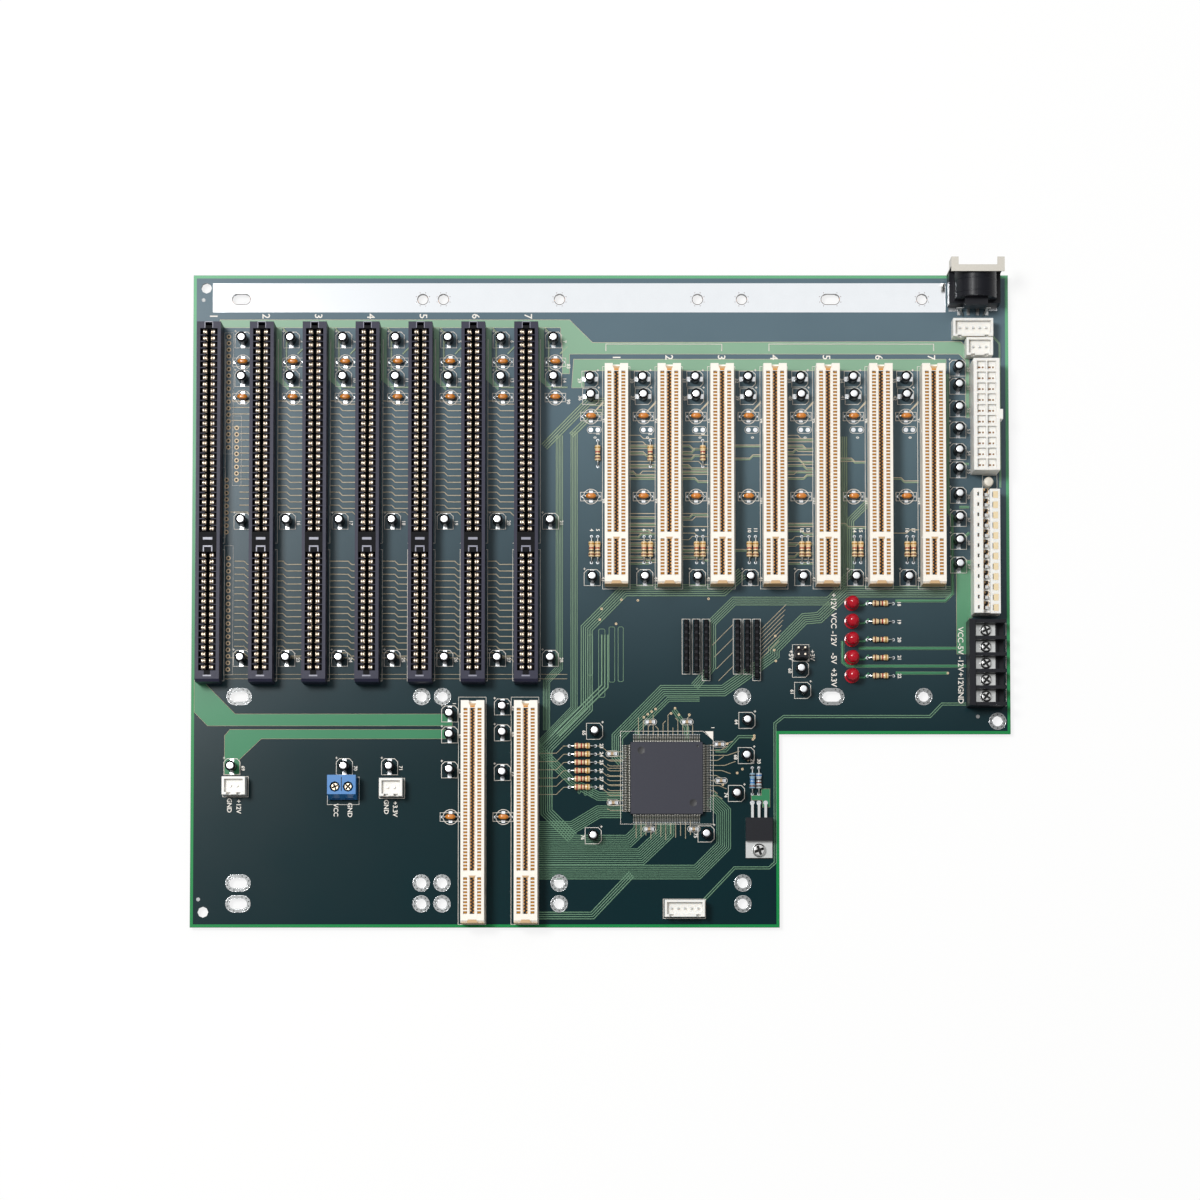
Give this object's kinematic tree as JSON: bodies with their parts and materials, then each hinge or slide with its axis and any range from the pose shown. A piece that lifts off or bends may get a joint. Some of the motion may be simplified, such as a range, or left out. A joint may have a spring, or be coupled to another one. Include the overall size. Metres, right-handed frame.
{
  "type": "passive backplane",
  "caption": "Flat backplane board with rows of black and ivory card-edge slots, power headers, a screw terminal strip, a keyboard socket, capacitors and a bridge chip.",
  "frame": {"origin": "centre of the bounding box at its base, which is the plane of the solder tail ends; the board's solder side is 2 mm above it", "axes": "+X along the board's long side towards the power connectors, +Y towards the edge with the keyboard socket, +Z out of the component side"},
  "size_m": [0.3158, 0.256, 0.0232],
  "materials": {
    "board": "satin solder mask over copper",
    "black_plastic": "moulded, matt",
    "ivory_plastic": "moulded, matt",
    "white_plastic": "moulded nylon",
    "blue_plastic": "moulded, glossy",
    "can": "shrunk sleeve with a bare aluminium top",
    "ceramic": "dipped resin",
    "resistor": "lacquered, with colour bands",
    "film_resistor": "lacquered, with colour bands",
    "lens": "tinted epoxy",
    "chip": "moulded epoxy",
    "chip_capacitor": "ceramic with tinned ends",
    "tinned": "tin plated",
    "gold": "thin gold plate",
    "fuse": "cream epoxy"
  },
  "bodies": {
    "root": {"circuit_board": "board", "isa_slot_1": "black_plastic", "pci_slot_1": "ivory_plastic", "isa_slot_2": "black_plastic", "pci_slot_2": "ivory_plastic", "isa_slot_3": "black_plastic", "pci_slot_3": "ivory_plastic", "isa_slot_4": "black_plastic", "pci_slot_4": "ivory_plastic", "isa_slot_5": "black_plastic", "pci_slot_5": "ivory_plastic", "isa_slot_6": "black_plastic", "pci_slot_6": "ivory_plastic", "isa_slot_7": "black_plastic", "pci_slot_7": "ivory_plastic", "cpu_slot_1": "ivory_plastic", "cpu_slot_2": "ivory_plastic", "isa_capacitors": "can", "pci_capacitors": "can", "supply_capacitors": "can", "board_capacitors": "can", "isa_ceramic_capacitors": "ceramic", "pci_ceramic_capacitors": "ceramic", "chip_capacitors": "chip_capacitor", "pull_up_resistors": "resistor", "lamp_resistors": "resistor", "chip_resistors": "resistor", "film_resistors": "film_resistor", "resistor_networks": "black_plastic", "lamps": "lens", "bridge_chip": "chip", "regulator_tab": "tinned", "regulator_body": "chip", "regulator_leads": "tinned", "regulator_screw": "tinned", "regulator_nut": "tinned", "barrier_strip": "black_plastic", "barrier_plates": "tinned", "barrier_screws": "tinned", "atx_header": "white_plastic", "atx_pins": "tinned", "at_header": "white_plastic", "at_pins": "tinned", "wire_clamp": "blue_plastic", "wire_clamp_screws": "tinned", "keyboard_header": "white_plastic", "speaker_header": "white_plastic", "front_panel_header": "white_plastic", "fan_header_left": "white_plastic", "fan_header_right": "white_plastic", "header_pins": "gold", "jumper_base": "black_plastic", "jumper_pins": "gold", "jumper_cap": "black_plastic", "reset_fuse": "fuse", "keyboard_socket": "black_plastic", "keyboard_socket_shield": "tinned", "keyboard_socket_tails": "tinned"}
  },
  "joints": []
}
